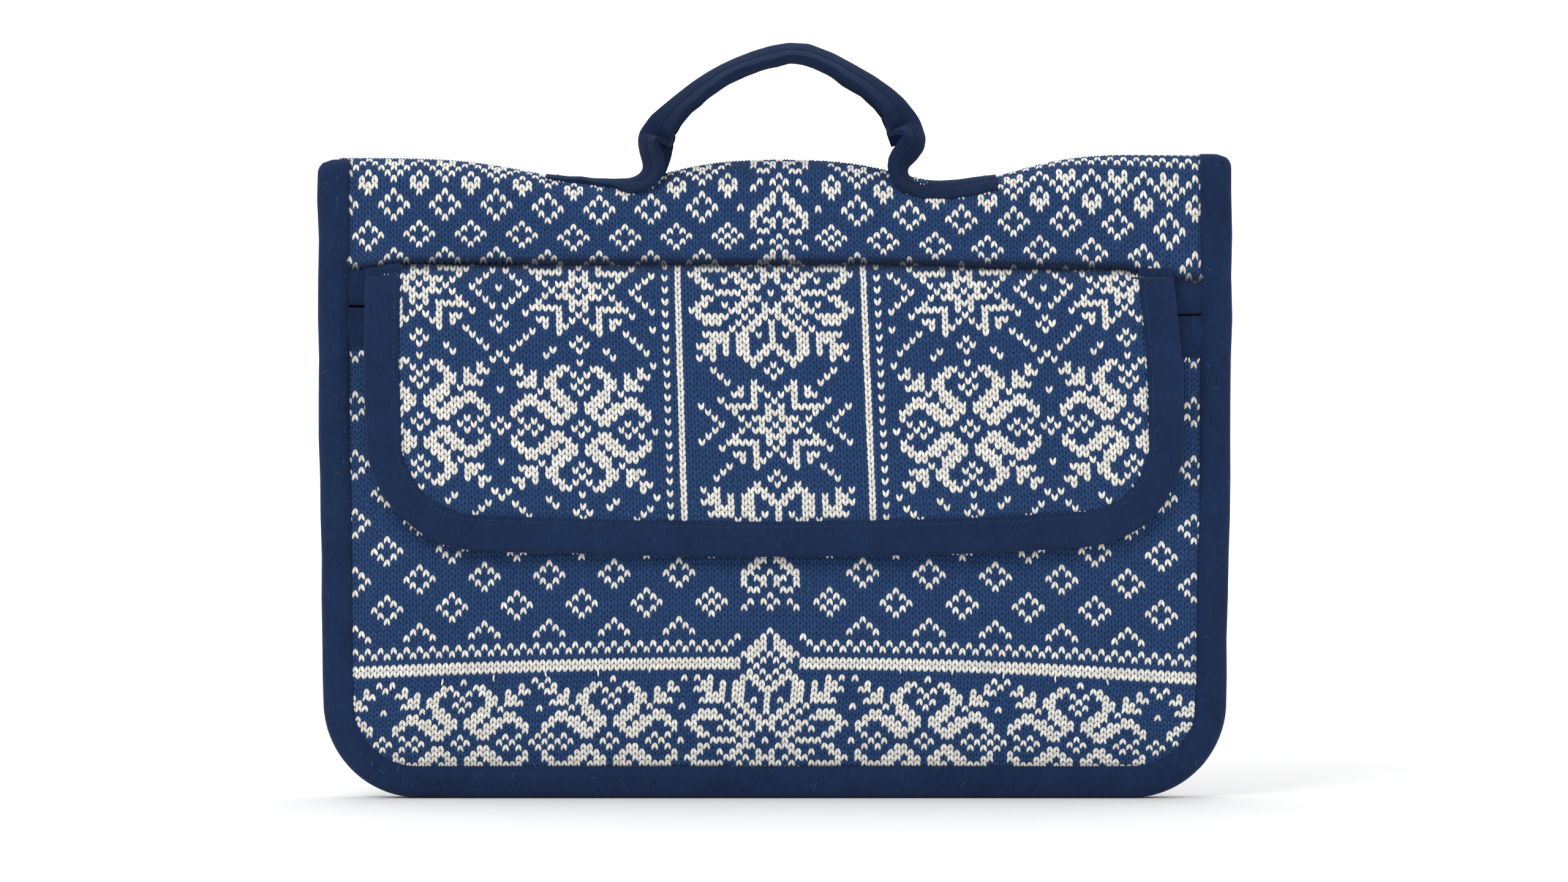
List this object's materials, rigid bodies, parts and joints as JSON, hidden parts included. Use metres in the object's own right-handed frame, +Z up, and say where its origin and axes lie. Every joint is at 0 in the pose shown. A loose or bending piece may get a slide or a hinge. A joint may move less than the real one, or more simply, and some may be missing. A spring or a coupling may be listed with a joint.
{
  "type": "knitted laptop bag",
  "caption": "Flat padded bag with a knitted Nordic pattern, a fold-over top, a front flap, a wool-bound edge and a cloth strap handle on its crest.",
  "frame": {"origin": "middle of the flat underside of the edge binding", "axes": "+Z up from the underside to the handle, the flap and the front face -Y, +X to the right as seen from the front"},
  "size_m": [0.4, 0.0363, 0.3316],
  "materials": {
    "knit": "wool knitted in medium blue and cream",
    "navy_wool": "matt felted wool",
    "lining": "plain woven cotton",
    "wadding": "soft foam wadding",
    "fastener": "hook and loop tape",
    "thread": "sewing thread"
  },
  "bodies": {
    "bag": {"knit_back_and_hood": "knit", "knit_front_panel": "knit", "padding_back_and_hood": "wadding", "padding_front_panel": "wadding", "lining_back_and_hood": "lining", "lining_front_panel": "lining", "edge_binding": "navy_wool", "mouth_binding": "navy_wool", "mouth_facing": "navy_wool", "loop_strip": "fastener", "handle_foot_left": "navy_wool", "handle_foot_right": "navy_wool", "foot_stitching_left": "thread", "foot_stitching_right": "thread"},
    "flap": {"flap_knit": "knit", "flap_padding": "wadding", "flap_lining": "lining", "flap_binding": "navy_wool", "hook_strip": "fastener"},
    "handle": {"handle_strap": "navy_wool", "handle_core": "wadding"}
  },
  "joints": [
    {"name": "flap_hinge", "type": "hinge", "parent": "bag", "child": "flap", "pos_m": [0, -0.0185, 0.2302], "axis": [-1, 0, 0], "range_deg": [0, 115]},
    {"name": "handle_swing", "type": "hinge", "parent": "bag", "child": "handle", "pos_m": [0.003, 0, 0.257], "axis": [1, 0, 0], "range_deg": [-70, 70]}
  ]
}
